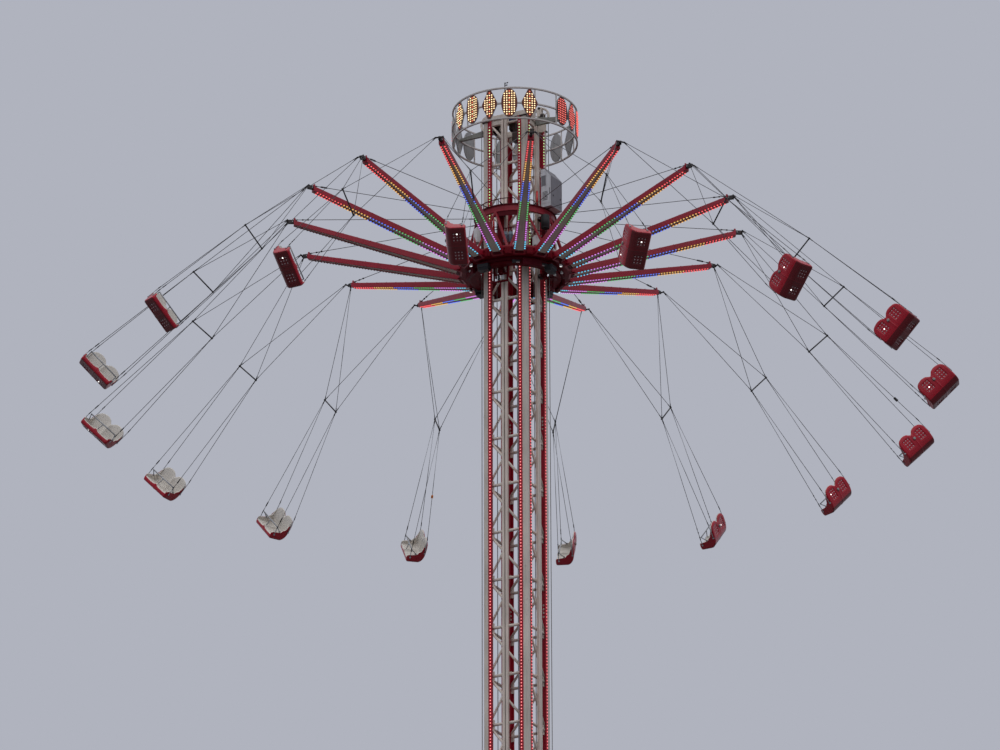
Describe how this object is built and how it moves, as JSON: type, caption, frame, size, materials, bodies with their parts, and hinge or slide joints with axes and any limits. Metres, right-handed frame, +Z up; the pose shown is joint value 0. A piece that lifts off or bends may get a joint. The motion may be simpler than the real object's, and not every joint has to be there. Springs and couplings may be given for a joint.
{
  "type": "chair swing tower ride, 1:2 scale model",
  "caption": "Tall lattice tower with a climbing carriage, a turning crown of tapered arms and double seats on ropes flung outwards; half-size model.",
  "frame": {"origin": "middle of the base plate's underside, on the tower's axis", "axes": "+Z up the tower, +X square to one tower face and +Y square to the next"},
  "size_m": [13.3782, 13.3782, 32.7163],
  "materials": {
    "light_grey_paint": "satin",
    "red_paint": "gloss",
    "seat_gloss": "gloss",
    "black_rope": "satin",
    "steel_rope": "satin",
    "cabinet_paint": "satin"
  },
  "bodies": {
    "tower": {"base_plate": "light_grey_paint", "corner_chord_1": "light_grey_paint", "corner_chord_2": "light_grey_paint", "corner_chord_3": "light_grey_paint", "corner_chord_4": "light_grey_paint", "lattice_face_1": "light_grey_paint", "lattice_face_2": "light_grey_paint", "lattice_face_3": "light_grey_paint", "lattice_face_4": "light_grey_paint", "guide_rail_1": "light_grey_paint", "guide_rail_2": "light_grey_paint", "guide_rail_3": "light_grey_paint", "tower_ladder": "light_grey_paint", "hoist_rope_right": "steel_rope", "hoist_rope_left": "steel_rope", "tower_head": "light_grey_paint", "sign_ring": "light_grey_paint"},
    "carriage": {"carriage_frame": "red_paint"},
    "rotor": {"rotor_arms_1": "red_paint", "rotor_arms_2": "red_paint", "rotor_arms_3": "red_paint", "rotor_arms_4": "red_paint", "rotor_cage": "red_paint", "stay_ropes": "steel_rope", "control_cabinet": "cabinet_paint"},
    "swing_01": {"seat_01": "seat_gloss", "seat_ropes_01": "black_rope"},
    "swing_02": {"seat_02": "seat_gloss", "seat_ropes_02": "black_rope"},
    "swing_03": {"seat_03": "seat_gloss", "seat_ropes_03": "black_rope"},
    "swing_04": {"seat_04": "seat_gloss", "seat_ropes_04": "black_rope"},
    "swing_05": {"seat_05": "seat_gloss", "seat_ropes_05": "black_rope"},
    "swing_06": {"seat_06": "seat_gloss", "seat_ropes_06": "black_rope"},
    "swing_07": {"seat_07": "seat_gloss", "seat_ropes_07": "black_rope"},
    "swing_08": {"seat_08": "seat_gloss", "seat_ropes_08": "black_rope"},
    "swing_09": {"seat_09": "seat_gloss", "seat_ropes_09": "black_rope"},
    "swing_10": {"seat_10": "seat_gloss", "seat_ropes_10": "black_rope"},
    "swing_11": {"seat_11": "seat_gloss", "seat_ropes_11": "black_rope"},
    "swing_12": {"seat_12": "seat_gloss", "seat_ropes_12": "black_rope"},
    "swing_13": {"seat_13": "seat_gloss", "seat_ropes_13": "black_rope"},
    "swing_14": {"seat_14": "seat_gloss", "seat_ropes_14": "black_rope"},
    "swing_15": {"seat_15": "seat_gloss", "seat_ropes_15": "black_rope"},
    "swing_16": {"seat_16": "seat_gloss", "seat_ropes_16": "black_rope"}
  },
  "joints": [
    {"name": "carriage_lift", "type": "slide", "parent": "tower", "child": "carriage", "axis": [0, 0, 1], "range_m": [-25.4, 0.6]},
    {"name": "rotor_turn", "type": "hinge", "parent": "carriage", "child": "rotor", "pos_m": [0, 0, 29.658], "axis": [0, 0, 1], "continuous": true},
    {"name": "swing_01_pivot", "type": "hinge", "parent": "rotor", "child": "swing_01", "pos_m": [3.25699, 1.12084, 30.4], "axis": [0.3254, -0.9456, 0], "range_deg": [-50, 10]},
    {"name": "swing_02_pivot", "type": "hinge", "parent": "rotor", "child": "swing_02", "pos_m": [2.58014, 2.28191, 30.4], "axis": [0.6625, -0.7491, 0], "range_deg": [-50, 10]},
    {"name": "swing_03_pivot", "type": "hinge", "parent": "rotor", "child": "swing_03", "pos_m": [1.51049, 3.09559, 30.4], "axis": [0.8987, -0.4385, 0], "range_deg": [-50, 10]},
    {"name": "swing_04_pivot", "type": "hinge", "parent": "rotor", "child": "swing_04", "pos_m": [0.21088, 3.43799, 30.4], "axis": [0.9981, -0.0612, 0], "range_deg": [-50, 10]},
    {"name": "swing_05_pivot", "type": "hinge", "parent": "rotor", "child": "swing_05", "pos_m": [-1.12084, 3.25699, 30.4], "axis": [0.9456, 0.3254, 0], "range_deg": [-50, 10]},
    {"name": "swing_06_pivot", "type": "hinge", "parent": "rotor", "child": "swing_06", "pos_m": [-2.28191, 2.58014, 30.4], "axis": [0.7491, 0.6625, 0], "range_deg": [-50, 10]},
    {"name": "swing_07_pivot", "type": "hinge", "parent": "rotor", "child": "swing_07", "pos_m": [-3.09559, 1.51049, 30.4], "axis": [0.4385, 0.8987, 0], "range_deg": [-50, 10]},
    {"name": "swing_08_pivot", "type": "hinge", "parent": "rotor", "child": "swing_08", "pos_m": [-3.43799, 0.21088, 30.4], "axis": [0.0612, 0.9981, 0], "range_deg": [-50, 10]},
    {"name": "swing_09_pivot", "type": "hinge", "parent": "rotor", "child": "swing_09", "pos_m": [-3.25699, -1.12084, 30.4], "axis": [-0.3254, 0.9456, 0], "range_deg": [-50, 10]},
    {"name": "swing_10_pivot", "type": "hinge", "parent": "rotor", "child": "swing_10", "pos_m": [-2.58014, -2.28191, 30.4], "axis": [-0.6625, 0.7491, 0], "range_deg": [-50, 10]},
    {"name": "swing_11_pivot", "type": "hinge", "parent": "rotor", "child": "swing_11", "pos_m": [-1.51049, -3.09559, 30.4], "axis": [-0.8987, 0.4385, 0], "range_deg": [-50, 10]},
    {"name": "swing_12_pivot", "type": "hinge", "parent": "rotor", "child": "swing_12", "pos_m": [-0.21088, -3.43799, 30.4], "axis": [-0.9981, 0.0612, 0], "range_deg": [-50, 10]},
    {"name": "swing_13_pivot", "type": "hinge", "parent": "rotor", "child": "swing_13", "pos_m": [1.12084, -3.25699, 30.4], "axis": [-0.9456, -0.3254, 0], "range_deg": [-50, 10]},
    {"name": "swing_14_pivot", "type": "hinge", "parent": "rotor", "child": "swing_14", "pos_m": [2.28191, -2.58014, 30.4], "axis": [-0.7491, -0.6625, 0], "range_deg": [-50, 10]},
    {"name": "swing_15_pivot", "type": "hinge", "parent": "rotor", "child": "swing_15", "pos_m": [3.09559, -1.51049, 30.4], "axis": [-0.4385, -0.8987, 0], "range_deg": [-50, 10]},
    {"name": "swing_16_pivot", "type": "hinge", "parent": "rotor", "child": "swing_16", "pos_m": [3.43799, -0.21088, 30.4], "axis": [-0.0612, -0.9981, 0], "range_deg": [-50, 10]}
  ]
}
